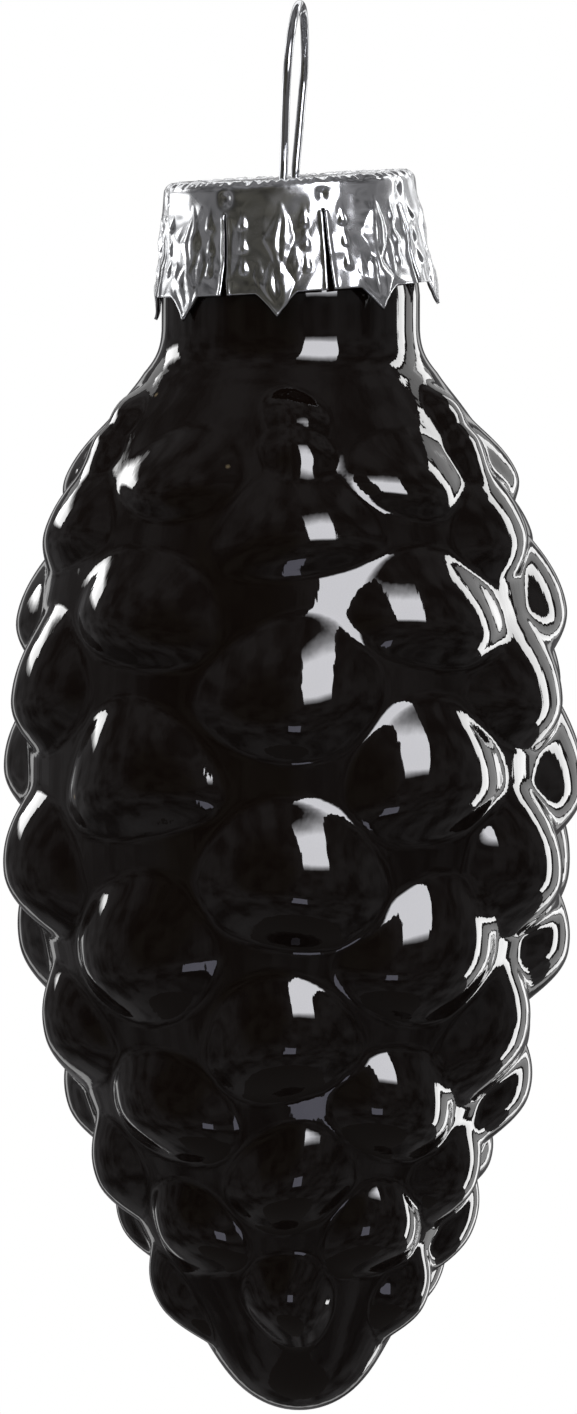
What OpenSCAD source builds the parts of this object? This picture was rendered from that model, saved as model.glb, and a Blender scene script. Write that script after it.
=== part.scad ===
// Pine cone ornament: a blown glass cone with a stamped crown cap and a wire hanging loop.
// Millimetres, +Z up, seen from -Y. The origin is where a hook bears, inside the top of the loop.

/* [Glass cone] */
// Height from the tip to the foot of the neck
body_h = 62.5; // [54:0.5:72]
// Height of the widest level above the tip
belly_z = 36; // [32:0.5:40]
// Radius at the widest level, in the valleys between the scales
belly_r = 15.4; // [13:0.05:18]
// Radius of the round tip
tip_r = 4.7; // [3:0.1:6]
// Thickness of the blown wall in the valleys
wall = 0.8; // [0.5:0.05:1.2]
// How far the tip lies to the right of the neck's axis
tip_drift = 0.5; // [0:0.05:1]

/* [Neck] */
// Radius of the neck where it leaves the cone
neck_r = 7.5; // [6.8:0.05:8.5]
// Height of the neck, most of it under the cap
neck_h = 8.6; // [8.2:0.1:12]
// How much narrower the neck is at its rim
rim_taper = 0.9; // [0.4:0.05:1.4]
// How much the neck widens at its foot
foot_rise = 0.75; // [0:0.05:1.2]
// Height over which it widens
foot_h = 2.7; // [1.6:0.1:3.2]
// How far up the neck it starts to widen
foot_up = 0.6; // [0:0.1:1]

/* [Scales] */
// How far a scale 10 mm long at the neck would stand out
scale_relief = 1.8; // [1:0.05:2.4]
// Half the width of a full scale, in degrees around the cone
scale_half_angle = 22.5; // [16:0.5:26]
// Share of a scale's length from its lip up to its crest
lip_share = 0.34; // [0.2:0.01:0.45]
// Share of a scale's length from its crest up to its head
head_share = 0.53; // [0.4:0.01:0.6]
// How softly the scales run into the valleys: more is softer
valley_fill = 0.6; // [0.2:0.05:1]

/* [Crown cap] */
// Thickness of the metal sheet
sheet = 0.2; // [0.12:0.01:0.3]
// Number of petals around the skirt
petals = 8; // [6:1:10]
// Length of the skirt at the sides of a petal
petal_len = 6.3; // [5:0.1:7]
// How far the point of a petal hangs below its sides
point_len = 1.35; // [0.5:0.05:1.5]
// Depth of the whole band above the slits
band_len = 1.7; // [1:0.1:3]
// Width of a slit at its foot
slit_w = 0.4; // [0.2:0.05:0.8]
// How far the leaf on a petal stands out
leaf_relief = 0.3; // [0.1:0.05:0.5]
// Gap between the cap and the rim, measured across
rim_gap = 0.5; // [0.2:0.05:0.8]
// Least gap between the skirt and the neck
skirt_gap = 0.1; // [0.05:0.05:0.5]
// Gap under the cap where it seats on the rim
seat_gap = 0.03; // [0.02:0.01:0.1]
// Lean of the cap, its left side down
cap_tilt = 3.5; // [0:0.5:5]
// Turn of the petals about the cap's axis
cap_turn = -8; // [-22:1:22]
// How far the cap sits to the left of the neck's axis
cap_shift = 0.1; // [0:0.05:0.2]

/* [Hanging loop] */
// Diameter of the wire
wire_d = 0.5; // [0.4:0.05:0.8]
// Radius of the loop at the middle of the wire
loop_r = 4.2; // [3:0.1:6]
// Height of the loop's centre above the cap
loop_rise = 6; // [5:0.05:9]
// Distance between the two holes in the cap
hole_span = 5.6; // [4:0.1:7]
// Clearance around the wire in its hole
hole_gap = 0.2; // [0.15:0.05:0.4]
// How far the legs reach down inside the neck
leg_drop = 8.8; // [7:0.1:9]
// Gap between a leg's end and the inside of the neck
leg_gap = 0.15; // [0.1:0.05:0.3]
// Lean of the loop to the right
loop_lean = 3.5; // [0:0.1:5]
// Turn of the loop's plane out of the line of sight
loop_turn = -6.7; // [-30:0.1:30]

/* [Hidden] */

// Heights of the scale rows' lips as shares of body_h, from the shoulder to the tip
ROW_LIPS = [0.841, 0.778, 0.694, 0.622, 0.538, 0.438, 0.378, 0.298, 0.24, 0.184, 0.126, 0.066];
// Lengths of the two top rows, which no scale covers, as shares of body_h
TOP_LENGTHS = [0.104, 0.128];
// Small rows on the shoulder: lip and length as shares of body_h, share of the relief, and
// how far above its lip such a scale has its crest, as a share of its length
SHOULDER_ROWS = [[0.893, 0.062, 1.35], [0.858, 0.062, 1.35]];
SHOULDER_CREST = 0.66;
// Angles of the columns of scales: even rows take the odd columns, odd rows the even ones
COLUMNS = [0, 33, 62, 88, 114, 141, 172, 203, 231, 257, 288, 324];
// The columns turn by this much from the tip to the neck, and stand as listed at this share of body_h
MOULD_TWIST = 6;
TWIST_REST = 0.6;
// Length at which scale_relief is measured, and the share of it that no scale goes below
RELIEF_LENGTH = 10;
LEAST_RELIEF = 0.17;
// How much more the scales stand out at the tip than at the neck
TIP_BOOST = 0.5;
// Length as a share of body_h from which a scale is full width, and how much its head narrows
FULL_LENGTH = 0.112;
HEAD_TAPER = 0.12;
// Unevenness of the hand-cut mould: degrees sideways, and a share of body_h up and down
SWAY = 1.3;
SWAY_LENGTH = 0.304;
WAVE = 0.008;
WAVE_LENGTH = 0.5;
WAVES_AROUND = 5;
// Powers of the egg's outline below and above its belly: how square it is, and how it closes
EGG_BELOW = [1.6, 0.64];
EGG_ABOVE = [2.4, 0.47];
// How far above the body's height the egg would close, if the neck didn't meet it
EGG_OVERRUN = 1.3;
// How softly neighbouring forms run together: lower is softer
SCALE_BLEND = 2;
TIP_BLEND = 8;
NECK_BLEND = 20;
// Share of the neck that is straight, and of a slit's foot width that it has at the cap's edge
NECK_STRAIGHT = 0.3;
SLIT_HEAD = 0.35;
// Radius of the cap's top edge
EDGE_R = 0.35;
// Half width and sharpness of a petal's point, and the leaf's half width at its head and foot
POINT_SHARE = 0.42;
POINT_POWER = 1.2;
LEAF_HEAD = 0.15;
LEAF_FOOT = 0.6;

// Facets of the cone: around it, up its body, in its round tip and up its neck
AROUND = 72;
BODY_RINGS = 60;
TIP_RINGS = 4;
NECK_RINGS = 4;
TIP_ZONE = 2.5;
TIP_CROWDING = 1.7;
WELL_Z = 0.4;
INNER_AROUND = 36;
INNER_RINGS = 18;

// Facets of the cap: across one petal and down its skirt
ACROSS = 8;
DOWN = 8;

// Facets of the wire: around it and along the loop's arc
WIRE_SIDES = 12;
ARC_STEPS = 32;

rim_z = body_h + neck_h;
rim_r = neck_r - rim_taper;
taper_foot = body_h + NECK_STRAIGHT * neck_h;
shoulder_top = body_h + EGG_OVERRUN;

skirt_swing = (petal_len + point_len) * sin(cap_tilt);
cap_top_r = rim_r + rim_gap + sheet / 2;
cap_foot_r = neck_r + skirt_gap + skirt_swing - cap_shift + sheet / 2;
cap_z = rim_z + seat_gap + sheet / 2 + (rim_r + cap_shift) * sin(cap_tilt);
hole_r = wire_d / 2 + hole_gap;

hook_rise = loop_rise + loop_r - wire_d / 2;
hook = [hook_rise * sin(loop_lean) - cap_shift, 0, cap_z + hook_rise * cos(loop_lean)];

function clamp01(x) = min(1, max(0, x));

// Radius of the valleys at height z: an egg with a round tip, which runs into the neck
function blend(a, b, power) = pow(pow(a, power) + pow(b, power), 1 / power);
function egg(powers, share) = belly_r * pow(1 - pow(clamp01(share), powers[0]), powers[1]);
function round_tip(z) = z < tip_r ? sqrt(max(0, z * (2 * tip_r - z))) : tip_r;
function lower_r(z) = blend(egg(EGG_BELOW, (belly_z - z) / belly_z), round_tip(z), TIP_BLEND);
function foot(z) = foot_rise * pow(clamp01((body_h + foot_up - z) / foot_h), 2);
function neck_at(z) =
    neck_r - rim_taper * clamp01((z - taper_foot) / (rim_z - taper_foot)) + foot(z);
function upper_r(z) =
    blend(egg(EGG_ABOVE, (z - belly_z) / (shoulder_top - belly_z)), neck_at(z), NECK_BLEND);
function valley_r(z) = z < belly_z ? lower_r(z) : upper_r(z);

// How far the cone's middle lies beside the neck's axis at height z
function middle_x(z) = tip_drift * pow(1 - clamp01(z / body_h), 4);

function column_at(k, z) = COLUMNS[k] - MOULD_TWIST * (TWIST_REST - z / body_h);
function turn_between(a, b) = abs(((a - b + 540) % 360) - 180);

// A row of scales: its lip's height, its length, its relief, its half width, its first column,
// and the shares of its length below its crest and above
function scale_row(lip, length, share, first, below, beyond) = [
    lip * body_h,
    length * body_h,
    share * scale_relief * (1 + TIP_BOOST * (1 - lip))
        * (LEAST_RELIEF + (1 - LEAST_RELIEF) * length * body_h / RELIEF_LENGTH),
    scale_half_angle * min(1, length / FULL_LENGTH),
    first,
    below,
    beyond
];
scale_rows = concat(
    [for (row = SHOULDER_ROWS)
        scale_row(row[0], row[1], row[2], 0, SHOULDER_CREST, 1 - SHOULDER_CREST)],
    [for (i = [0:len(ROW_LIPS) - 1])
        let (length = i < 2 ? TOP_LENGTHS[i] : ROW_LIPS[i - 2] - ROW_LIPS[i])
        scale_row(ROW_LIPS[i], length, 1, (i + 1) % 2, lip_share, head_share)]
);

// How far the scales stand out at height z and angle a: round pillows with soft valleys between
function total(list, i = 0) = i < len(list) ? list[i] + total(list, i + 1) : 0;
function relief(z, a) =
    let (
        turned = a + SWAY * sin(360 * z / (SWAY_LENGTH * body_h) + 2 * a),
        level = z + WAVE * body_h * sin(WAVES_AROUND * a + 360 * z / (WAVE_LENGTH * body_h)),
        swells = [
            for (row = scale_rows)
                let (
                    above = (level - row[0]) / row[1] - row[5],
                    along = above < 0 ? above / row[5] : above / row[6],
                    half = row[3] * (1 - HEAD_TAPER * clamp01(along))
                )
                if (abs(along) < 1)
                    for (k = [row[4]:2:len(COLUMNS) - 1])
                        let (across = turn_between(turned, column_at(k, level)) / half)
                        pow(row[2] * max(0, 1 - along * along - across * across), SCALE_BLEND)
        ]
    )
    pow(total(swells) + pow(valley_fill, SCALE_BLEND), 1 / SCALE_BLEND) - valley_fill;

function ring(r, a, z, x = 0) = [x + r * sin(a), -r * cos(a), z];
function outer_ring(z) = [
    for (j = [0:AROUND - 1])
        let (a = 360 * j / AROUND)
        ring(valley_r(z) + relief(z, a), a, z, middle_x(z))
];

// The inside runs at one wall's thickness from the valleys, square to them
STEP = 0.05;
function slope(z) = (valley_r(z + STEP) - valley_r(z - STEP)) / (2 * STEP);
function inner_ring(z) =
    let (s = z < rim_z ? slope(z) : 0, depth = wall / sqrt(1 + s * s))
    [for (j = [0:INNER_AROUND - 1])
        ring(valley_r(z) - depth, 360 * j / INNER_AROUND, z + s * depth, middle_x(z))];

outer_levels = concat(
    [for (i = [1:TIP_RINGS]) TIP_ZONE * pow(i / TIP_RINGS, TIP_CROWDING)],
    [for (i = [1:BODY_RINGS]) TIP_ZONE + (body_h - TIP_ZONE) * i / BODY_RINGS],
    [for (i = [1:NECK_RINGS]) body_h + neck_h * i / NECK_RINGS]
);
inner_levels = concat(
    [rim_z],
    [for (i = [0:INNER_RINGS]) taper_foot + (WELL_Z - taper_foot) * i / INNER_RINGS]
);

// Two triangles for each cell between two rings that start at points a and b
function band(a, b, n) = [
    for (j = [0:n - 1])
        let (k = (j + 1) % n)
        each [[a + j, b + j, b + k], [a + j, b + k, a + k]]
];

module glass_cone() {
    outer = [for (z = outer_levels) each outer_ring(z)];
    inner = [for (z = inner_levels) each inner_ring(z)];
    last_out = len(outer_levels) - 1;
    last_in = len(inner_levels) - 1;
    out_0 = 1;
    in_0 = out_0 + len(outer);
    rim_0 = out_0 + last_out * AROUND;
    floor_0 = in_0 + last_in * INNER_AROUND;
    bottom = in_0 + len(inner);
    each_in = AROUND / INNER_AROUND;
    faces = concat(
        [for (j = [0:AROUND - 1]) [0, out_0 + j, out_0 + (j + 1) % AROUND]],
        [for (i = [0:last_out - 1]) each band(out_0 + i * AROUND, out_0 + (i + 1) * AROUND, AROUND)],
        [for (j = [0:AROUND - 1])
            [rim_0 + j, in_0 + floor(j / each_in), rim_0 + (j + 1) % AROUND]],
        [for (j = [0:INNER_AROUND - 1])
            [in_0 + j, in_0 + (j + 1) % INNER_AROUND, rim_0 + (j + 1) * each_in % AROUND]],
        [for (i = [0:last_in - 1])
            each band(in_0 + i * INNER_AROUND, in_0 + (i + 1) * INNER_AROUND, INNER_AROUND)],
        [for (j = [0:INNER_AROUND - 1]) [floor_0 + j, bottom, floor_0 + (j + 1) % INNER_AROUND]]
    );
    tip = [middle_x(0), 0, 0];
    well = [middle_x(0), 0, wall + WELL_Z / 2];
    color([0.05, 0.045, 0.045])
        hung()
            polyhedron(points = concat([tip], outer, inner, [well]), faces = faces, convexity = 6);
}

// The cap's sheet: a flat top with a round edge and a flared skirt that is slit into petals
petal_turn = 360 / petals;
columns = petals * (ACROSS + 1);
slit_row = 3;

// Place across a petal, from -1 at its left side to 1 at its right
function across(c) = 2 * (c % (ACROSS + 1)) / ACROSS - 1;
function slit_half(s) = asin(slit_w / 2 * (SLIT_HEAD + (1 - SLIT_HEAD) * s) / cap_foot_r);
function cap_angle(c, s) =
    cap_turn + petal_turn * floor(c / (ACROSS + 1)) + across(c) * (petal_turn / 2 - slit_half(s));
function point_at(x) = pow(clamp01(1 - abs(x) / POINT_SHARE), POINT_POWER);
function skirt_len(x, s) = (petal_len + point_len * point_at(x) * s * s) * s;
function leaf(x, s) =
    leaf_relief * sin(90 * s) * max(0, 1 - abs(x) / (LEAF_HEAD + (LEAF_FOOT - LEAF_HEAD) * s));

// Levels down the skirt as shares: the edge, the band above the slits, then the petals
band_share = band_len / petal_len;
function skirt_share(i) =
    i <= slit_row ? band_share * i / slit_row
                  : band_share + (1 - band_share) * (i - slit_row) / (DOWN - slit_row);

// A point of the sheet, off its middle by side * sheet / 2
function cap_point(i, c, side) =
    let (half = side * sheet / 2, s = skirt_share(i), x = across(c))
    i == 0
        ? ring(cap_top_r - EDGE_R + half / 2, cap_angle(c, 0), half)
        : ring(cap_top_r + (cap_foot_r - cap_top_r) * s + leaf(x, s) + half,
               cap_angle(c, s),
               i == 1 ? min(-EDGE_R, -skirt_len(x, s)) : -skirt_len(x, s));

module crown_cap() {
    outside = [for (i = [0:DOWN], c = [0:columns - 1]) cap_point(i, c, 1)];
    inside = [for (i = [0:DOWN], c = [0:columns - 1]) cap_point(i, c, -1)];
    in_0 = len(outside);
    function at(i, c) = i * columns + c % columns;
    function whole(i, c) = i < slit_row || c % (ACROSS + 1) != ACROSS;
    faces = concat(
        [for (c = [0:columns - 1]) [at(0, c), 2 * in_0, at(0, c + 1)]],
        [for (c = [0:columns - 1]) [in_0 + at(0, c), in_0 + at(0, c + 1), 2 * in_0 + 1]],
        [for (i = [0:DOWN - 1], c = [0:columns - 1]) if (whole(i, c))
            each [
                [at(i, c), at(i, c + 1), at(i + 1, c + 1)],
                [at(i, c), at(i + 1, c + 1), at(i + 1, c)],
                [in_0 + at(i, c), in_0 + at(i + 1, c + 1), in_0 + at(i, c + 1)],
                [in_0 + at(i, c), in_0 + at(i + 1, c), in_0 + at(i + 1, c + 1)]
            ]],
        // Lower edges: the petals' feet, and the heads of the slits
        [for (c = [0:columns - 1])
            let (i = whole(DOWN, c) ? DOWN : slit_row)
            each [
                [at(i, c), at(i, c + 1), in_0 + at(i, c + 1)],
                [at(i, c), in_0 + at(i, c + 1), in_0 + at(i, c)]
            ]],
        // The two sides of each slit
        [for (p = [0:petals - 1], i = [slit_row:DOWN - 1])
            let (l = p * (ACROSS + 1) + ACROSS, r = l + 1)
            each [
                [at(i, l), in_0 + at(i, l), in_0 + at(i + 1, l)],
                [at(i, l), in_0 + at(i + 1, l), at(i + 1, l)],
                [at(i, r), in_0 + at(i + 1, r), in_0 + at(i, r)],
                [at(i, r), at(i + 1, r), in_0 + at(i + 1, r)]
            ]]
    );
    color([0.8, 0.8, 0.82])
        hung()
            on_neck()
                difference() {
                    polyhedron(
                        points = concat(outside, inside, [[0, 0, sheet / 2], [0, 0, -sheet / 2]]),
                        faces = faces,
                        convexity = 8
                    );
                    for (side = [-1, 1])
                        rotate([0, 0, loop_turn])
                            translate([0, side * half_span, -sheet])
                                cylinder(h = 2 * sheet, r = hole_r, $fn = 32);
                }
}

// The wire lies in the plane of Y and Z: a leg, the loop's arc, and the other leg
half_span = hole_span / 2;
reach = norm([half_span, loop_rise]);
lead = asin(loop_r / reach) - atan(half_span / loop_rise);
leg_swing = leg_drop * sin(loop_lean) + cap_shift;
leg_room = neck_r - wall - wire_d / 2 - leg_gap;
leg_y = sqrt(pow(leg_room, 2) - pow(leg_swing * cos(loop_turn), 2)) - leg_swing * abs(sin(loop_turn));
wire_path = concat(
    [[-leg_y, -leg_drop], [-half_span, 0]],
    [for (i = [0:ARC_STEPS])
        let (a = 180 + lead - (180 + 2 * lead) * i / ARC_STEPS)
        [loop_r * cos(a), loop_rise + loop_r * sin(a)]],
    [[half_span, 0], [leg_y, -leg_drop]]
);
function unit(v) = v / norm(v);

// A ring of the wire, square to the path, or on the mitre where the path bends
function wire_ring(i) =
    let (
        last = len(wire_path) - 1,
        here = wire_path[i],
        before = unit(here - wire_path[max(0, i - 1)] + (i == 0 ? wire_path[1] - here : [0, 0])),
        after = unit(wire_path[min(last, i + 1)] - here
                     + (i == last ? here - wire_path[last - 1] : [0, 0])),
        along = unit(before + after),
        spread = 1 / sqrt((1 + before * after) / 2)
    )
    [for (j = [0:WIRE_SIDES - 1])
        let (
            a = 360 * j / WIRE_SIDES,
            off = wire_d / 2 * spread * sin(a)
        )
        [wire_d / 2 * cos(a), here[0] - along[1] * off, here[1] + along[0] * off]];

module wire_loop() {
    points = [for (i = [0:len(wire_path) - 1]) each wire_ring(i)];
    last_0 = len(points) - WIRE_SIDES;
    faces = concat(
        [[for (j = [0:WIRE_SIDES - 1]) j]],
        [for (i = [0:len(wire_path) - 2])
            each band(i * WIRE_SIDES, (i + 1) * WIRE_SIDES, WIRE_SIDES)],
        [[for (j = [WIRE_SIDES - 1:-1:0]) last_0 + j]]
    );
    color([0.7, 0.7, 0.72])
        hung()
            on_cap()
                polyhedron(points = points, faces = faces, convexity = 6);
}

module on_neck() {
    translate([-cap_shift, 0, cap_z])
        rotate([0, -cap_tilt, 0])
            children();
}

module on_cap() {
    translate([-cap_shift, 0, cap_z])
        rotate([0, loop_lean, 0])
            rotate([0, 0, loop_turn])
                children();
}

module hung() {
    translate(-hook)
        children();
}

glass_cone();
crown_cap();
wire_loop();
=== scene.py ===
import math

import bmesh
import bpy
import numpy as np
from mathutils import Matrix, Vector, noise


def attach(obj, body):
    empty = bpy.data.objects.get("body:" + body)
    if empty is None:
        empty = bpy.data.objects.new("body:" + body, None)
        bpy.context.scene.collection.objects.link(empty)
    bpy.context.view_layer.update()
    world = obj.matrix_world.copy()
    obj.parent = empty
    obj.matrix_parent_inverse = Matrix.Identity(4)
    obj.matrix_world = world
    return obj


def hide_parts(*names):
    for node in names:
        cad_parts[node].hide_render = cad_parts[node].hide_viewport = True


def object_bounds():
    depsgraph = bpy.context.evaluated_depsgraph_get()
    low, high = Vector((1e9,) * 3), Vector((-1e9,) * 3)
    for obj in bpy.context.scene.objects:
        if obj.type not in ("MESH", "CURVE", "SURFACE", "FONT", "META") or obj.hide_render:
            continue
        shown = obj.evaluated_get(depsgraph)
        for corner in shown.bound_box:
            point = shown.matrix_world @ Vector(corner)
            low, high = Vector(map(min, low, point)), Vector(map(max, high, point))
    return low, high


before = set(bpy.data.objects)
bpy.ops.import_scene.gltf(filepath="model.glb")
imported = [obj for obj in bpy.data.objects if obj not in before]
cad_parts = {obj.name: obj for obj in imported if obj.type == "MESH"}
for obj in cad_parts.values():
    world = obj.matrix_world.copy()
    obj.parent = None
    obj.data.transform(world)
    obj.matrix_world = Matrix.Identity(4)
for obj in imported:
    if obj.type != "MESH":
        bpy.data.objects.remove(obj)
cad_low, cad_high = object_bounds()

MM = 0.001

# The cone's sizes in millimetres, with its tip at height 0 and its neck's axis at 0, 0
BODY_H = 62.5
BELLY_Z = 36
BELLY_R = 15.4
TIP_R = 4.7
WALL = 0.8
INNER_FOOT = 2 * WALL
TIP_DRIFT = 0.5
DRIFT_POWER = 4
NECK_R = 7.5
NECK_H = 8.6
RIM_TAPER = 0.9
NECK_STRAIGHT = 0.3
FOOT_RISE = 0.75
FOOT_H = 2.7
FOOT_UP = 0.6
EGG_BELOW = (1.6, 0.64)
EGG_ABOVE = (2.4, 0.47)
EGG_OVERRUN = 1.3
TIP_BLEND = 8
NECK_BLEND = 20

# The scales: lips and lengths as shares of the body's height, columns in degrees, relief in mm.
# A shoulder row is its lip, its length and its share of the relief.
ROW_LIPS = [0.841, 0.778, 0.694, 0.622, 0.538, 0.438, 0.378, 0.298, 0.24, 0.184, 0.126, 0.066]
TOP_LENGTHS = [0.104, 0.128]
SHOULDER_ROWS = [(0.893, 0.062, 1.35), (0.858, 0.062, 1.35)]
SHOULDER_CREST = 0.66
COLUMNS = [0, 33, 62, 88, 114, 141, 172, 203, 231, 257, 288, 324]
MOULD_TWIST = 6
TWIST_REST = 0.6
SCALE_RELIEF = 1.8
RELIEF_LENGTH = 10
LEAST_RELIEF = 0.17
TIP_BOOST = 0.5
SCALE_HALF_ANGLE = 22.5
FULL_LENGTH = 0.112
LIP_SHARE = 0.34
HEAD_SHARE = 0.53
HEAD_TAPER = 0.12
SCALE_BLEND = 2
VALLEY_FILL = 0.6
# The hand-cut mould's unevenness: degrees sideways, and a share of the height up and down
SWAY = 1.3
SWAY_LENGTH = 0.304
WAVE = 0.008
WAVE_LENGTH = 0.5
WAVES_AROUND = 5

# The cap: its sheet, petals and slits
SHEET = 0.2
PETALS = 8
PETAL_LEN = 6.3
POINT_LEN = 1.35
POINT_SHARE = 0.42
POINT_POWER = 1.2
POINT_FALL = 3
BAND_LEN = 1.7
SLIT_W = 0.4
SLIT_HEAD = 0.35
SLIT_POWER = 3
SKIRT_POWER = 1.6
EDGE_R = 0.35
RIM_GAP = 0.5
SKIRT_GAP = 0.1
SEAT_GAP = 0.03
CAP_TILT = math.radians(3.5)
CAP_TURN = -8
CAP_SHIFT = 0.1

# The cap's stamping: heights out of the sheet, and places across a petal and down it.
# A leaf is its middle, its place down, its half width, its half height and its rise.
DENT_RISE = 0.13
DENT_SIZE = 0.55
DENT_R = 5.2
DENT_RUN = 0.8
DENT_STRETCH = 3
LEAVES = [(0.36, 3.2, 1.0, 2.2, 0.3), (0.1, 5.75, 1.15, 1.75, 0.32),
          (-1.05, 5.3, 0.4, 1.1, 0.14), (1.4, 4.7, 0.4, 1.2, 0.16)]
LEAF_SWELL = 0.65
VEIN_W = 0.2
VEIN_DEPTH = 0.55
WANDER = 0.14
WANDER_SIZE = 2.2
DOT_ACROSS = 2.0
DOTS_DOWN = [2.4, 3.7, 4.95]
DOT_R = 0.21
DOT_TAIL = 0.6
DOT_TAPER = 0.6
DOT_RISE = 0.18
FLANGE_W = 0.16
FLANGE_RISE = 0.14
DIMPLE_W = 0.3
DIMPLE_DOWN = 0.75
DIMPLE_H = 0.4
DIMPLE_DEPTH = 0.2
CREASE_RISE = 0.07
CREASE_SIZE = 3
BAND_CREASE = 0.15
TOP_CREASE = 0.3
FINE_CREASE = 0.4
FINE_SIZE = CREASE_SIZE / 2.3
FOLD_GAIN = 4
TIP_CURL = 0.25

# The wire: its loop, its way through the cap, and its legs
WIRE_D = 0.5
LOOP_R = 4.2
LOOP_RISE = 6
HALF_SPAN = 2.8
HOLE_GAP = 0.2
LEG_DROP = 8.8
LEG_GAP = 0.15
BEND_R = 0.9
LOOP_LEAN = math.radians(3.5)
LOOP_TURN = math.radians(-6.7)

RIM_Z = BODY_H + NECK_H
RIM_R = NECK_R - RIM_TAPER
TAPER_FOOT = BODY_H + NECK_STRAIGHT * NECK_H
SHOULDER_TOP = BODY_H + EGG_OVERRUN
CAP_TOP_R = RIM_R + RIM_GAP + SHEET / 2
CAP_FOOT_R = (NECK_R + SKIRT_GAP + (PETAL_LEN + POINT_LEN) * math.sin(CAP_TILT)
              - CAP_SHIFT + SHEET / 2)
CAP_Z = RIM_Z + SEAT_GAP + SHEET / 2 + (RIM_R + CAP_SHIFT) * math.sin(CAP_TILT)
HOLE_R = WIRE_D / 2 + HOLE_GAP
HOOK_RISE = LOOP_RISE + LOOP_R - WIRE_D / 2
HOOK = Vector((HOOK_RISE * math.sin(LOOP_LEAN) - CAP_SHIFT, 0,
               CAP_Z + HOOK_RISE * math.cos(LOOP_LEAN)))

# How finely the pieces are divided
CONE_AROUND = 256
CONE_RINGS = 270
TIP_RINGS = 12
TIP_ZONE = 1.5
NECK_RINGS = 22
INNER_RINGS = 20
PETAL_COLUMNS = 56
PER_PETAL = PETAL_COLUMNS + 1
SKIRT_ROWS = 56
EDGE_ROWS = 4
MIDDLE_ROWS = 5
HOLE_ROWS = 14
TOP_ROWS = 12
WIRE_SIDES = 20
ARC_STEPS = 64
BEND_STEPS = 8

# The step that a slope is measured over, and what counts as one place and as no size
SLOPE_STEP = 0.05
MERGE = 1e-5
TINY = 1e-9


def hung(matrix=Matrix()):
    """Returns the placing of a shape given in the cone's millimetres."""
    return Matrix.Scale(MM, 4) @ Matrix.Translation(-HOOK) @ matrix


def on_cap(turn):
    """Returns the placing of what sits on the neck and is turned by turn."""
    return hung(Matrix.Translation((-CAP_SHIFT, 0, CAP_Z)) @ turn)


def places(bm):
    """Returns a bmesh's vertices as columns x, y and z."""
    return np.array([vert.co for vert in bm.verts]).T


def move_to(bm, x, y, z):
    """Moves a bmesh's vertices to the given places."""
    for vert, place in zip(bm.verts, np.column_stack([x, y, z])):
        vert.co = place


def piece(name, bm, material, node, placing):
    """Makes a finished piece from a bmesh in millimetres, in place of its CAD node."""
    mesh = bpy.data.meshes.new(name)
    bm.to_mesh(mesh)
    bm.free()
    obj = bpy.data.objects.new(name, mesh)
    bpy.context.scene.collection.objects.link(obj)
    mesh.transform(placing)
    for polygon in mesh.polygons:
        polygon.use_smooth = True
    mesh.materials.append(material)
    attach(obj, "root")
    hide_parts(node)
    return obj


def spun(points, steps):
    """Returns the surface that an outline sweeps once around Z."""
    bm = bmesh.new()
    verts = [bm.verts.new(p) for p in points]
    edges = [bm.edges.new(pair) for pair in zip(verts, verts[1:])]
    bmesh.ops.spin(bm, geom=verts + edges, axis=(0, 0, 1), cent=(0, 0, 0), angle=math.tau,
                   steps=steps, use_merge=True)
    bmesh.ops.remove_doubles(bm, verts=bm.verts, dist=MERGE)
    bmesh.ops.recalc_face_normals(bm, faces=bm.faces)
    return bm


# The glass cone's surface
def blend(a, b, power):
    """Returns the larger of two sizes, with a soft run from one to the other."""
    return (a ** power + b ** power) ** (1 / power)


def valley_radius(z):
    """Returns the radius of the valleys between the scales at heights z."""
    low = np.clip((BELLY_Z - z) / BELLY_Z, 0, 1)
    high = np.clip((z - BELLY_Z) / (SHOULDER_TOP - BELLY_Z), 0, 1)
    lower = BELLY_R * (1 - low ** EGG_BELOW[0]) ** EGG_BELOW[1]
    upper = BELLY_R * (1 - high ** EGG_ABOVE[0]) ** EGG_ABOVE[1]
    tip = np.where(z < TIP_R, np.sqrt(np.clip(z * (2 * TIP_R - z), 0, None)), TIP_R)
    taper = np.clip((z - TAPER_FOOT) / (RIM_Z - TAPER_FOOT), 0, 1)
    foot = np.clip((BODY_H + FOOT_UP - z) / FOOT_H, 0, 1) ** 2
    neck = NECK_R - RIM_TAPER * taper + FOOT_RISE * foot
    return np.where(z < BELLY_Z, blend(lower, tip, TIP_BLEND), blend(upper, neck, NECK_BLEND))


def middle_x(z):
    """Returns how far the cone's middle lies beside the neck's axis at heights z."""
    return TIP_DRIFT * (1 - np.clip(z / BODY_H, 0, 1)) ** DRIFT_POWER


def scale_rows():
    """Returns each row's lip, length, relief, half width, first column and crest's place."""
    rows = [(lip, length, share, 0, SHOULDER_CREST, 1 - SHOULDER_CREST)
            for lip, length, share in SHOULDER_ROWS]
    for i, lip in enumerate(ROW_LIPS):
        length = TOP_LENGTHS[i] if i < len(TOP_LENGTHS) else ROW_LIPS[i - 2] - lip
        rows.append((lip, length, 1, (i + 1) % 2, LIP_SHARE, HEAD_SHARE))
    made = []
    for lip, length, share, first, below, beyond in rows:
        rise = (share * SCALE_RELIEF * (1 + TIP_BOOST * (1 - lip))
                * (LEAST_RELIEF + (1 - LEAST_RELIEF) * length * BODY_H / RELIEF_LENGTH))
        half = SCALE_HALF_ANGLE * min(1, length / FULL_LENGTH)
        made.append((lip * BODY_H, length * BODY_H, rise, half, first, below, beyond))
    return made


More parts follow.
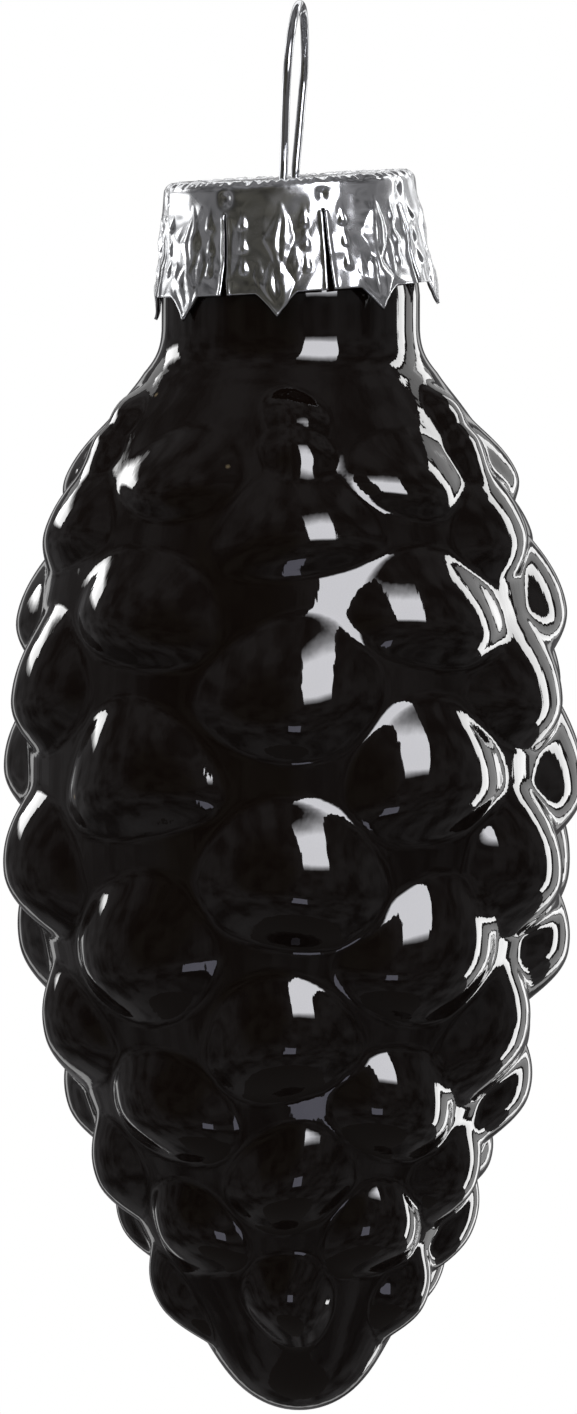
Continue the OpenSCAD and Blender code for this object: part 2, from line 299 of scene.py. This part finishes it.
def relief(z, angle):
    """Returns how far the scales stand out at heights z and angles in degrees."""
    turned = angle + SWAY * np.sin(math.tau * z / (SWAY_LENGTH * BODY_H) + np.radians(2 * angle))
    level = z + WAVE * BODY_H * np.sin(
        np.radians(WAVES_AROUND * angle) + math.tau * z / (WAVE_LENGTH * BODY_H))
    total = np.full_like(z, VALLEY_FILL ** SCALE_BLEND)
    for lip, length, rise, half, first, below, beyond in scale_rows():
        above = (level - lip) / length - below
        along = np.where(above < 0, above / below, above / beyond)
        wide = half * (1 - HEAD_TAPER * np.clip(along, 0, 1))
        for k in range(first, len(COLUMNS), 2):
            column = COLUMNS[k] - MOULD_TWIST * (TWIST_REST - level / BODY_H)
            across = np.abs((turned - column + 540) % 360 - 180) / wide
            total += (rise * np.clip(1 - along ** 2 - across ** 2, 0, None)) ** SCALE_BLEND
    return total ** (1 / SCALE_BLEND) - VALLEY_FILL


def cone_outline():
    """Returns the outline of the hollow cone: up its outside and down its inside."""
    tip = [TIP_ZONE * (i / TIP_RINGS) ** 2 for i in range(1, TIP_RINGS)]
    body = list(np.linspace(TIP_ZONE, BODY_H, CONE_RINGS))
    neck = list(np.linspace(BODY_H, RIM_Z, NECK_RINGS))[1:]
    levels = np.array([0] + tip + body + neck)
    outside = [(r, 0, z) for r, z in zip(valley_radius(levels), levels)]
    depths = np.linspace(TAPER_FOOT, INNER_FOOT, INNER_RINGS)
    gain = valley_radius(depths + SLOPE_STEP) - valley_radius(depths - SLOPE_STEP)
    slope = gain / (2 * SLOPE_STEP)
    square = WALL / np.sqrt(1 + slope ** 2)
    radii = valley_radius(depths) - square
    inside = [(r, 0, z) for r, z in zip(radii, depths + slope * square)]
    well = (0, 0, inside[-1][2] - WALL / 2)
    return outside + [(RIM_R - WALL, 0, RIM_Z)] + inside + [well]


def glass_cone():
    """Makes the blown glass: a spun shell whose outside is swollen into scales."""
    bm = spun(cone_outline(), CONE_AROUND)
    x, y, z = places(bm)
    radius = np.hypot(x, y)
    angle = np.degrees(np.arctan2(x, -y))
    outer = radius > valley_radius(z) - WALL / 3
    swollen = radius + np.where(outer, relief(z, angle), 0)
    growth = swollen / np.maximum(radius, TINY)
    move_to(bm, x * growth + middle_x(z), y * growth, z)
    return piece("blown_glass", bm, black_glass(), "glass_cone", hung())


# The crown cap's sheet
def cap_outline():
    """Returns the outline of the cap's sheet, from the middle of its top to its foot."""
    near = HALF_SPAN - HOLE_R - SHEET
    past = HALF_SPAN + HOLE_R + SHEET
    radii = (list(np.linspace(0, near, MIDDLE_ROWS)) + list(np.linspace(near, past, HOLE_ROWS))[1:]
             + list(np.linspace(past, CAP_TOP_R - EDGE_R, TOP_ROWS))[1:])
    outline = [(r, 0, 0) for r in radii]
    for i in range(1, EDGE_ROWS + 1):
        turn = math.pi / 2 * i / EDGE_ROWS
        radius = CAP_TOP_R - EDGE_R * (1 - math.sin(turn))
        outline.append((radius, 0, -EDGE_R * (1 - math.cos(turn))))
    for z in np.linspace(-EDGE_R, -PETAL_LEN, SKIRT_ROWS)[1:]:
        outline.append((CAP_TOP_R, 0, z))
    return outline


def hill(distance):
    """Returns a soft hill, 1 at distance 0."""
    return np.exp(-distance ** 2)


def creases(x, y, z, size):
    """Returns a crumpled height between -1 and 1 for each place, with sharp folds."""
    spots = zip(x / size, y / size, z / size)
    return np.array([1 - FOLD_GAIN * abs(noise.noise(Vector(spot))) for spot in spots])


def petal_pattern(across, down, half):
    """Returns how far a petal's stamping stands out, across it and down from the cap's edge."""
    out = np.zeros_like(across)
    leaf_x = across + WANDER * creases(across, down, np.full_like(down, half), WANDER_SIZE)
    for middle, level, wide, high, rise in LEAVES:
        from_vein = np.abs(leaf_x - middle) / wide
        away = from_vein + np.abs(down - level) / high
        swell = np.clip(1 - away, 0, 1) ** LEAF_SWELL
        out += rise * swell * (1 - VEIN_DEPTH * hill(from_vein / VEIN_W))
    beside = np.abs(across)
    for level in DOTS_DOWN:
        above = np.where(down < level, DOT_TAIL, DOT_R)
        narrow = DOT_R * (1 - DOT_TAPER * np.clip((level - down) / DOT_TAIL, 0, 1))
        out += DOT_RISE * hill((beside - DOT_ACROSS) / narrow) * hill((down - level) / above)
    to_slit = half - beside
    below_head = np.clip((down - BAND_LEN) / FLANGE_W, 0, 1)
    out += FLANGE_RISE * hill(to_slit / FLANGE_W) * below_head
    out -= DIMPLE_DEPTH * hill(to_slit / DIMPLE_W) * hill((down - DIMPLE_DOWN) / DIMPLE_H)
    return out


def stamp(bm):
    """Gives the spun sheet its flare, its petals' points and its stamping."""
    x, y, z = places(bm)
    turn = np.degrees(np.arctan2(x, -y)) % 360
    column = np.round(turn / 360 * PETALS * PER_PETAL)
    petal, step = np.divmod(column, PER_PETAL)
    share = np.clip(-z / PETAL_LEN, 0, None)
    across = 2 * step / PETAL_COLUMNS - 1
    slit_half = np.degrees(np.arcsin(
        SLIT_W / 2 * (SLIT_HEAD + (1 - SLIT_HEAD) * share ** SLIT_POWER) / CAP_FOOT_R))
    angle = np.radians(CAP_TURN + 360 / PETALS * petal + across * (180 / PETALS - slit_half))
    radius = np.hypot(x, y) + (CAP_FOOT_R - CAP_TOP_R) * share ** SKIRT_POWER
    point = np.clip(1 - np.abs(across) / POINT_SHARE, 0, 1) ** POINT_POWER
    down = -z + POINT_LEN * point * share ** POINT_FALL
    half = math.pi * CAP_FOOT_R / PETALS
    skirt = np.clip((-z - EDGE_R / 2) / EDGE_R, 0, 1)
    right = np.sin(angle)
    front = np.cos(angle)
    crumple = creases(radius * right, radius * front, down, CREASE_SIZE)
    crumple += FINE_CREASE * creases(radius * right, radius * front, down, FINE_SIZE)
    out = petal_pattern(across * half, down, half)
    out += CREASE_RISE * crumple * np.clip(down / BAND_LEN, BAND_CREASE, 1)
    out += TIP_CURL * np.clip((down - PETAL_LEN) / POINT_LEN, 0, 1) ** 2
    dents = creases(CAP_TOP_R * right, CAP_TOP_R * front, radius / DENT_STRETCH, DENT_SIZE)
    rim = np.clip((radius - DENT_R) / DENT_RUN, 0, 1)
    rim *= np.clip((CAP_TOP_R - radius) / EDGE_R, 0, 1)
    radius += out * skirt
    top = (1 - skirt) * (DENT_RISE * dents * rim + TOP_CREASE * CREASE_RISE * crumple)
    move_to(bm, radius * right, -radius * front, top - down)


def cut_slits(bm):
    """Takes the sheet out of the slits between the petals."""
    gone = []
    for face in bm.faces:
        middle = face.calc_center_median()
        turn = math.degrees(math.atan2(middle.x, -middle.y)) % 360
        column = int(turn / 360 * PETALS * PER_PETAL)
        if column % PER_PETAL == PETAL_COLUMNS and middle.z < -BAND_LEN:
            gone.append(face)
    bmesh.ops.delete(bm, geom=gone, context="FACES")


def cut_hole(bm, side):
    """Cuts one of the wire's two holes in the cap's top, and rounds its rim."""
    hole = Matrix.Rotation(LOOP_TURN, 3, "Z") @ Vector((0, side * HALF_SPAN, 0))
    gone = []
    for face in bm.faces:
        middle = face.calc_center_median()
        if middle.z > -EDGE_R and (middle.xy - hole.xy).length < HOLE_R:
            gone.append(face)
    bmesh.ops.delete(bm, geom=gone, context="FACES")
    for vert in bm.verts:
        away = vert.co.xy - hole.xy
        if vert.is_boundary and away.length < HOLE_R + SHEET:
            vert.co.xy = hole.xy + away.normalized() * HOLE_R


def crown_cap():
    """Makes the stamped cap: a spun sheet, slit into petals and stamped."""
    bm = spun(cap_outline(), PETALS * PER_PETAL)
    cut_slits(bm)
    stamp(bm)
    for side in (-1, 1):
        cut_hole(bm, side)
    lean = Matrix.Rotation(-CAP_TILT, 4, "Y")
    cap = piece("stamped_cap", bm, silver_sheet(), "crown_cap", on_cap(lean))
    wall = cap.modifiers.new("sheet", "SOLIDIFY")
    wall.thickness = SHEET * MM
    wall.offset = 0
    return cap


# The wire's path and sweep
def wire_path():
    """Returns the middle of the wire in the plane of Y and Z: leg, loop and leg."""
    reach = math.hypot(HALF_SPAN, LOOP_RISE)
    lead = math.asin(LOOP_R / reach) - math.atan(HALF_SPAN / LOOP_RISE)
    swing = LEG_DROP * math.sin(LOOP_LEAN) + CAP_SHIFT
    room = NECK_R - WALL - WIRE_D / 2 - LEG_GAP
    leg_y = (math.sqrt(room ** 2 - (swing * math.cos(LOOP_TURN)) ** 2)
             - swing * abs(math.sin(LOOP_TURN)))
    leg = Vector((0, -leg_y, -LEG_DROP))
    hole = Vector((0, -HALF_SPAN, 0))
    arc = []
    for i in range(ARC_STEPS + 1):
        turn = math.pi + lead - (math.pi + 2 * lead) * i / ARC_STEPS
        arc.append(Vector((0, LOOP_R * math.cos(turn), LOOP_RISE + LOOP_R * math.sin(turn))))
    down = hole + (leg - hole).normalized() * BEND_R
    up = hole + (arc[0] - hole).normalized() * BEND_R
    bend = []
    for i in range(BEND_STEPS + 1):
        t = i / BEND_STEPS
        bend.append(down * (1 - t) ** 2 + hole * 2 * t * (1 - t) + up * t ** 2)
    half = [leg] + bend + arc[:ARC_STEPS // 2]
    mirrored = [Vector((0, -p.y, p.z)) for p in reversed(half)]
    return half + [arc[ARC_STEPS // 2]] + mirrored


def swept(path, radius, sides):
    """Returns a round rod along a path, with its place around and along kept as an attribute."""
    bm = bmesh.new()
    drawn = bm.verts.layers.float_vector.new("drawn")
    made = bmesh.ops.create_circle(bm, cap_ends=False, segments=sides, radius=radius)
    ring = made["verts"]
    edges = list({e for v in ring for e in v.link_edges})
    place = Matrix()
    length = 0
    ends = [edges]
    for i, point in enumerate(path):
        ahead = path[min(i + 1, len(path) - 1)] - path[max(i - 1, 0)]
        turned = Vector((0, 0, 1)).rotation_difference(ahead).to_matrix().to_4x4()
        there = Matrix.Translation(point) @ turned
        if i > 0:
            length += (point - path[i - 1]).length
            grown = bmesh.ops.extrude_edge_only(bm, edges=edges)["geom"]
            ring = [g for g in grown if isinstance(g, bmesh.types.BMVert)]
            edges = [g for g in grown if isinstance(g, bmesh.types.BMEdge)
                     and g.verts[0] in ring and g.verts[1] in ring]
        move = there @ place.inverted()
        bmesh.ops.transform(bm, matrix=move, verts=ring)
        back = there.inverted()
        for vert in ring:
            local = back @ vert.co / radius
            vert[drawn] = (local.x, local.y, length)
        place = there
    ends.append(edges)
    for end in ends:
        bmesh.ops.contextual_create(bm, geom=end)
    bmesh.ops.recalc_face_normals(bm, faces=bm.faces)
    return bm


def wire_loop():
    """Makes the bright wire, bent to a hairpin."""
    bm = swept(wire_path(), WIRE_D / 2, WIRE_SIDES)
    turn = Matrix.Rotation(LOOP_LEAN, 4, "Y") @ Matrix.Rotation(LOOP_TURN, 4, "Z")
    return piece("bright_wire", bm, bright_wire(), "wire_loop", on_cap(turn))


# Steps of a shader tree, where a value is a constant or another node's output
def put(tree, socket, value):
    """Links an output to a socket, or writes a constant in it."""
    if isinstance(value, bpy.types.NodeSocket):
        tree.links.new(value, socket)
    else:
        socket.default_value = value


def mixed(tree, factor, plain, marked):
    """Returns the output of a mix from one colour to another by a factor."""
    mix = tree.nodes.new("ShaderNodeMix")
    mix.data_type = "RGBA"
    put(tree, mix.inputs["Factor"], factor)
    for name, colour in (("A", plain), ("B", marked)):
        put(tree, mix.inputs[name], (*colour, 1) if isinstance(colour, tuple) else colour)
    return mix.outputs["Result"]


def mapped(tree, value, from_min, from_max, to_min=0, to_max=1, way="LINEAR"):
    """Returns a value carried from one range to another."""
    node = tree.nodes.new("ShaderNodeMapRange")
    node.interpolation_type = way
    put(tree, node.inputs["Value"], value)
    put(tree, node.inputs["From Min"], from_min)
    put(tree, node.inputs["From Max"], from_max)
    put(tree, node.inputs["To Min"], to_min)
    put(tree, node.inputs["To Max"], to_max)
    return node.outputs["Result"]


def worked_out(tree, kind, operation, *values):
    """Returns the number that an operation gives for its values."""
    node = tree.nodes.new(kind)
    node.operation = operation
    for socket, value in zip(node.inputs, values):
        put(tree, socket, value)
    return node.outputs["Value"]


def ramp(tree, value, stops):
    """Returns the colour of a ramp at a value, from stops of a position and a colour each."""
    node = tree.nodes.new("ShaderNodeValToRGB")
    elements = node.color_ramp.elements
    for element, (position, colour) in zip(elements, (stops[0], stops[-1])):
        element.position = position
        element.color = (*colour, 1)
    for position, colour in stops[1:-1]:
        elements.new(position).color = (*colour, 1)
    put(tree, node.inputs[0], value)
    return node.outputs["Color"]


# Node groups that the materials share
GLOSS_DETAIL = 4
GLOSS_RANGE = (0.35, 0.7)


def new_group(name, inputs, output):
    """Returns a shader node group with number inputs after its Place, and one number output."""
    group = bpy.data.node_groups.new(name, "ShaderNodeTree")
    face = group.interface
    face.new_socket("Place", in_out="INPUT", socket_type="NodeSocketVector")
    for socket in inputs:
        face.new_socket(socket, in_out="INPUT", socket_type="NodeSocketFloat")
    face.new_socket(output, in_out="OUTPUT", socket_type="NodeSocketFloat")
    given = group.nodes.new("NodeGroupInput").outputs
    return group, given, group.nodes.new("NodeGroupOutput").inputs[output]


def uneven_gloss():
    """A group: roughness that changes softly between two values, as a handled surface does."""
    group, given, made = new_group("uneven_gloss", ["Scale", "Smooth", "Rough"], "Roughness")
    cloud = group.nodes.new("ShaderNodeTexNoise")
    put(group, cloud.inputs["Vector"], given["Place"])
    put(group, cloud.inputs["Scale"], given["Scale"])
    put(group, cloud.inputs["Detail"], GLOSS_DETAIL)
    put(group, made, mapped(
        group, cloud.outputs["Fac"], *GLOSS_RANGE, given["Smooth"], given["Rough"]))
    return group


def stray_specks():
    """A group: a mask of small specks, one in some of the cells of a scattered grid."""
    group, given, made = new_group("stray_specks", ["Scale", "Speck Size", "Share"], "Mask")
    cells = group.nodes.new("ShaderNodeTexVoronoi")
    put(group, cells.inputs["Vector"], given["Place"])
    put(group, cells.inputs["Scale"], given["Scale"])
    split = group.nodes.new("ShaderNodeSeparateColor")
    put(group, split.inputs[0], cells.outputs["Color"])
    near = mapped(group, cells.outputs["Distance"], 0, given["Speck Size"], 1, 0, "SMOOTHSTEP")
    chosen = worked_out(group, "ShaderNodeMath", "LESS_THAN", split.outputs[0], given["Share"])
    put(group, made, worked_out(group, "ShaderNodeMath", "MULTIPLY", near, chosen))
    return group


# Materials, with their colours
GLASS_BLACK = (0.005, 0.003, 0.0023)
GLASS_SPECK = (0.22, 0.17, 0.1)
GLASS_IOR = 1.45
SHEET_SILVER = (0.82, 0.83, 0.85)
SHEET_PIT = (0.35, 0.35, 0.36)
WIRE_STEEL = (0.62, 0.63, 0.65)
WIRE_SPOT = (0.3, 0.3, 0.31)


def new_material(name):
    """Returns a new material with its tree and its Principled shader."""
    material = bpy.data.materials.new(name)
    material.use_nodes = True
    tree = material.node_tree
    return material, tree, tree.nodes["Principled BSDF"]


def placed(tree, group, place, **values):
    """Places a node group in a material with its own values."""
    node = tree.nodes.new("ShaderNodeGroup")
    node.node_tree = group
    tree.links.new(place, node.inputs["Place"])
    for name, value in values.items():
        node.inputs[name.replace("_", " ")].default_value = value
    return node


def raised(tree, place, scale, distance, detail=2, stretch=(1, 1, 1)):
    """Returns a Bump node whose height is a noise of the given size and depth in metres."""
    turn = tree.nodes.new("ShaderNodeMapping")
    turn.inputs["Scale"].default_value = stretch
    height = tree.nodes.new("ShaderNodeTexNoise")
    height.inputs["Scale"].default_value = scale
    height.inputs["Detail"].default_value = detail
    bump = tree.nodes.new("ShaderNodeBump")
    bump.inputs["Distance"].default_value = distance
    tree.links.new(place, turn.inputs["Vector"])
    tree.links.new(turn.outputs["Vector"], height.inputs["Vector"])
    tree.links.new(height.outputs["Fac"], bump.inputs["Height"])
    return bump


def black_glass():
    """Opaque black glass, fire-polished: softly waved, with fine streaks and stray specks."""
    material, tree, shader = new_material("black_glass")
    link = tree.links.new
    place = tree.nodes.new("ShaderNodeTexCoord").outputs["Object"]
    specks = placed(tree, SPECKS, place, Scale=230, Speck_Size=0.05, Share=0.12)
    gloss = placed(tree, GLOSS, place, Scale=350, Smooth=0.015, Rough=0.05)
    link(mixed(tree, specks.outputs["Mask"], GLASS_BLACK, GLASS_SPECK), shader.inputs["Base Color"])
    link(gloss.outputs["Roughness"], shader.inputs["Roughness"])
    waves = raised(tree, place, scale=260, distance=0.00006)
    streaks = raised(tree, place, scale=1500, distance=0.000012, stretch=(1, 1, 0.03))
    link(waves.outputs["Normal"], streaks.inputs["Normal"])
    link(streaks.outputs["Normal"], shader.inputs["Normal"])
    shader.inputs["IOR"].default_value = GLASS_IOR
    return material


def silver_sheet():
    """Bright stamped sheet: finely crinkled, with dull pits and an uneven shine."""
    material, tree, shader = new_material("silver_sheet")
    link = tree.links.new
    place = tree.nodes.new("ShaderNodeTexCoord").outputs["Object"]
    pits = placed(tree, SPECKS, place, Scale=1400, Speck_Size=0.3, Share=0.2)
    gloss = placed(tree, GLOSS, place, Scale=900, Smooth=0.13, Rough=0.27)
    link(mixed(tree, pits.outputs["Mask"], SHEET_SILVER, SHEET_PIT), shader.inputs["Base Color"])
    link(gloss.outputs["Roughness"], shader.inputs["Roughness"])
    crinkle = raised(tree, place, scale=700, distance=0.000015, detail=1)
    link(crinkle.outputs["Normal"], shader.inputs["Normal"])
    shader.inputs["Metallic"].default_value = 1
    return material


def bright_wire():
    """Bright wire, with the die's streaks along it and a few dull spots."""
    material, tree, shader = new_material("bright_wire")
    link = tree.links.new
    drawn = tree.nodes.new("ShaderNodeAttribute")
    drawn.attribute_name = "drawn"
    place = tree.nodes.new("ShaderNodeTexCoord").outputs["Object"]
    spots = placed(tree, SPECKS, place, Scale=1100, Speck_Size=0.3, Share=0.15)
    gloss = placed(tree, GLOSS, drawn.outputs["Vector"], Scale=2.5, Smooth=0.03, Rough=0.09)
    link(mixed(tree, spots.outputs["Mask"], WIRE_STEEL, WIRE_SPOT), shader.inputs["Base Color"])
    link(gloss.outputs["Roughness"], shader.inputs["Roughness"])
    streaks = raised(
        tree, drawn.outputs["Vector"], scale=3, distance=0.000007, stretch=(1, 1, 0.08))
    link(streaks.outputs["Normal"], shader.inputs["Normal"])
    shader.inputs["Metallic"].default_value = 1
    return material


# The stage: its camera, and the floor as it is and as the glass shows it. In a shine the floor's
# colour is painted: a painted pool of light in the middle and a painted dim edge
VIEW_H = 0.0822
VIEW_MIDDLE = Vector((-0.00064, 0, -0.04056))
CAMERA_AWAY = 0.9
CAMERA_RISE = math.radians(3)
CLIP_NEAR = 0.05
CLIP_FAR = 20
FLOOR_DROP = 0.2
FLOOR_R = 0.1
FLOOR_SIDES = 96
FLOOR_COLOUR = (0.8, 0.8, 0.8)
FLOOR_ROUGH = 0.9
# Where the floor's painted pool of light lies and how it fades, and the colours that a shine shows: a
# painted pool of light and a painted dim edge
FLOOR_MIDDLE = (0.5, 0.5, 0)
FLOOR_FADE = (0.2, 0.48)
PAINTED_POOL_IN_SHINE = (0.45, 0.41, 0.33)
PAINTED_DIM_EDGE_IN_SHINE = (0.14, 0.135, 0.13)

# The lamp that lights plainly and shows in nothing, with its level last
LAMP_AWAY = 0.6
PLAIN_LAMP = ("plain", -20, 52, (40, 40), 3.8)

# The lamps that show only in a shine: name, azimuth and elevation, width and height in degrees, level,
# colour, and the shares of the height that fade at the head and the foot.
# METAL_SHARE is the share of the first list's level at which the metal shows it.
WHITE = (1, 1, 1)
BLACK = (0, 0, 0)
HALF_FADED = (0.35, 0.35, 0.35)
METAL_SHARE = 0.27
LAMPS = [
    ("key", 28, 31, (34, 46), 17.5, (0.95, 0.95, 1), (0.3, 0.15)),
    ("right_strip", 117, 5, (10, 70), 10.5, WHITE, None),
    ("right_grey", 133, 5, (14, 70), 1.3, WHITE, None),
    ("right_back", 146, 5, (8, 70), 4, WHITE, None),
    ("left_rear", -131, 20, (22, 18), 9, WHITE, (0.3, 0.2)),
    ("low_card", 8, -38, (16, 12), 2.3, (0.8, 0.8, 1), None),
]
GLASS_LAMPS = [("top_back", 180, 30, (80, 20), 0.8, WHITE, None)]
METAL_LAMPS = [
    ("top_back", 180, 30, (80, 20), 1.1, WHITE, None),
    ("left_card", -125, 0, (40, 26), 1.8, WHITE, (0.35, 0.35)),
]

# The world: what shines show of it, by the cosine from a way given as azimuth and elevation.
# The backdrop is a bright ring about its way, and the walls darken towards theirs.
# PATCHES carries a range of the cloud to a range of the walls' brightness.
BACKDROP_WAY = (180, -12)
BACKDROP_STOPS = [(0.865, BLACK), (0.88, WHITE), (0.91, WHITE), (0.925, BLACK)]
WALLS_WAY = (-30, 5)
WALLS_STOPS = [(0.85, (0.14, 0.138, 0.142)), (1, (0.06, 0.057, 0.047))]
CLOUD_SCALE = 3.5
CLOUD_SHARE = 0.2
PATCHES = (0.35, 0.65, 0.35, 1.5)
PLAIN_WORLD = (0.5, 0.5, 0.51)


def direction(azimuth, elevation):
    """Returns the way to a point seen from the object: right of the front, and up."""
    a = math.radians(azimuth)
    e = math.radians(elevation)
    return Vector((math.sin(a) * math.cos(e), -math.cos(a) * math.cos(e), math.sin(e)))


def camera():
    """Sets a long lens at the front, a little above the middle."""
    data = bpy.data.cameras.new("camera")
    data.lens = data.sensor_width * CAMERA_AWAY / VIEW_H
    data.clip_start = CLIP_NEAR
    data.clip_end = CLIP_FAR
    obj = bpy.data.objects.new("camera", data)
    back = direction(0, math.degrees(CAMERA_RISE))
    obj.location = VIEW_MIDDLE + back * CAMERA_AWAY
    obj.rotation_mode = "QUATERNION"
    obj.rotation_quaternion = (-back).to_track_quat("-Z", "Y")
    bpy.context.scene.collection.objects.link(obj)
    bpy.context.scene.camera = obj


def lit_together(name, *pieces):
    """Returns a collection of the pieces that show the same lamps."""
    group = bpy.data.collections.new(name)
    for obj in pieces:
        group.objects.link(obj)
    return group


def softbox(name, azimuth, elevation, size, level, colour=WHITE, fade=None):
    """Hangs a lamp that faces the object, as wide and high as the given angles, and returns it."""
    wide = 2 * LAMP_AWAY * math.tan(math.radians(size[0] / 2)) * math.cos(math.radians(elevation))
    high = 2 * LAMP_AWAY * math.tan(math.radians(size[1] / 2))
    data = bpy.data.lights.new(name, "AREA")
    data.shape = "RECTANGLE"
    data.size = wide
    data.size_y = high
    data.energy = level * math.pi * wide * high
    data.color = colour
    if fade:
        fade_ends(data, *fade)
    obj = bpy.data.objects.new(name, data)
    back = direction(azimuth, elevation)
    obj.location = VIEW_MIDDLE + back * LAMP_AWAY
    obj.rotation_mode = "QUATERNION"
    obj.rotation_quaternion = back.to_track_quat("Z", "Y")
    obj.visible_camera = False
    bpy.context.scene.collection.objects.link(obj)
    return obj


def reflected_lamps(group, share, lamps):
    """Hangs lamps that show only in a group's shine, at a share of their level."""
    for name, azimuth, elevation, size, level, colour, fade in lamps:
        name = f"{name}_{group.name}"
        lamp = softbox(name, azimuth, elevation, size, level * share, colour, fade)
        lamp.visible_diffuse = False
        lamp.light_linking.receiver_collection = group


def fade_ends(data, head, foot):
    """Lets a lamp fade to dark over the given shares of its height, at its head and its foot."""
    data.use_nodes = True
    tree = data.node_tree
    place = tree.nodes.new("ShaderNodeNewGeometry")
    split = tree.nodes.new("ShaderNodeSeparateXYZ")
    put(tree, split.inputs[0], place.outputs["Parametric"])
    stops = [(0, BLACK), (foot / 2, HALF_FADED), (foot, WHITE),
             (1 - head, WHITE), (1 - head / 2, HALF_FADED), (1, BLACK)]
    put(tree, tree.nodes["Emission"].inputs["Strength"], ramp(tree, split.outputs["Y"], stops))


def pale_floor():
    """A plain pale floor. In a shine its colour is painted dim, with a warm painted pool of light in
    its middle that fades to a darker painted edge.
    """
    material, tree, shader = new_material("pale_floor")
    path = tree.nodes.new("ShaderNodeLightPath")
    place = tree.nodes.new("ShaderNodeTexCoord").outputs["Generated"]
    away = worked_out(tree, "ShaderNodeVectorMath", "DISTANCE", place, FLOOR_MIDDLE)
    fade = mapped(tree, away, *FLOOR_FADE, way="SMOOTHSTEP")
    # Painted reflection: a warm painted pool of light in the middle, fading to a painted dim edge,
    # which only a shine shows
    shown = mixed(tree, fade, PAINTED_POOL_IN_SHINE, PAINTED_DIM_EDGE_IN_SHINE)
    colour = mixed(tree, path.outputs["Is Glossy Ray"], FLOOR_COLOUR, shown)
    put(tree, shader.inputs["Base Color"], colour)
    shader.inputs["Roughness"].default_value = FLOOR_ROUGH
    return material


def floor():
    """Lays the floor below the hanging cone."""
    bm = bmesh.new()
    bmesh.ops.create_circle(bm, cap_ends=True, segments=FLOOR_SIDES, radius=FLOOR_R)
    mesh = bpy.data.meshes.new("floor")
    bm.to_mesh(mesh)
    bm.free()
    mesh.transform(Matrix.Translation((0, 0, cad_low.z - FLOOR_DROP)))
    mesh.materials.append(pale_floor())
    obj = bpy.data.objects.new("floor", mesh)
    bpy.context.scene.collection.objects.link(obj)


def studio():
    """Sets the world: white behind the object, and a dim room where a shine shows it."""
    world = bpy.data.worlds.new("studio")
    world.use_nodes = True
    bpy.context.scene.world = world
    tree = world.node_tree
    path = tree.nodes.new("ShaderNodeLightPath").outputs
    way = tree.nodes.new("ShaderNodeTexCoord").outputs["Generated"]
    behind = worked_out(tree, "ShaderNodeVectorMath", "DOT_PRODUCT", way, direction(*BACKDROP_WAY))
    facing = worked_out(tree, "ShaderNodeVectorMath", "DOT_PRODUCT", way, direction(*WALLS_WAY))
    cloud = tree.nodes.new("ShaderNodeTexNoise")
    put(tree, cloud.inputs["Vector"], way)
    put(tree, cloud.inputs["Scale"], CLOUD_SCALE)
    cloudy = cloud.outputs["Fac"]
    uneven = worked_out(tree, "ShaderNodeMath", "MULTIPLY_ADD", cloudy, CLOUD_SHARE, facing)
    walls = tree.nodes.new("ShaderNodeVectorMath")
    walls.operation = "SCALE"
    put(tree, walls.inputs[0], ramp(tree, uneven, WALLS_STOPS))
    put(tree, walls.inputs["Scale"], mapped(tree, cloudy, *PATCHES))
    room = mixed(tree, ramp(tree, behind, BACKDROP_STOPS), walls.outputs["Vector"], WHITE)
    shine = worked_out(
        tree, "ShaderNodeMath", "MAXIMUM", path["Is Glossy Ray"], path["Is Transmission Ray"])
    lighting = mixed(tree, shine, PLAIN_WORLD, room)
    background = tree.nodes["Background"]
    put(tree, background.inputs["Color"], mixed(tree, path["Is Camera Ray"], lighting, WHITE))
    background.inputs["Strength"].default_value = 1


GLOSS = uneven_gloss()
SPECKS = stray_specks()
glass = lit_together("glass", glass_cone())
metal = lit_together("metal", crown_cap(), wire_loop())
camera()
softbox(*PLAIN_LAMP).visible_glossy = False
reflected_lamps(glass, 1, LAMPS + GLASS_LAMPS)
reflected_lamps(metal, METAL_SHARE, LAMPS)
reflected_lamps(metal, 1, METAL_LAMPS)
floor()
studio()
bpy.context.scene.view_settings.view_transform = "Standard"
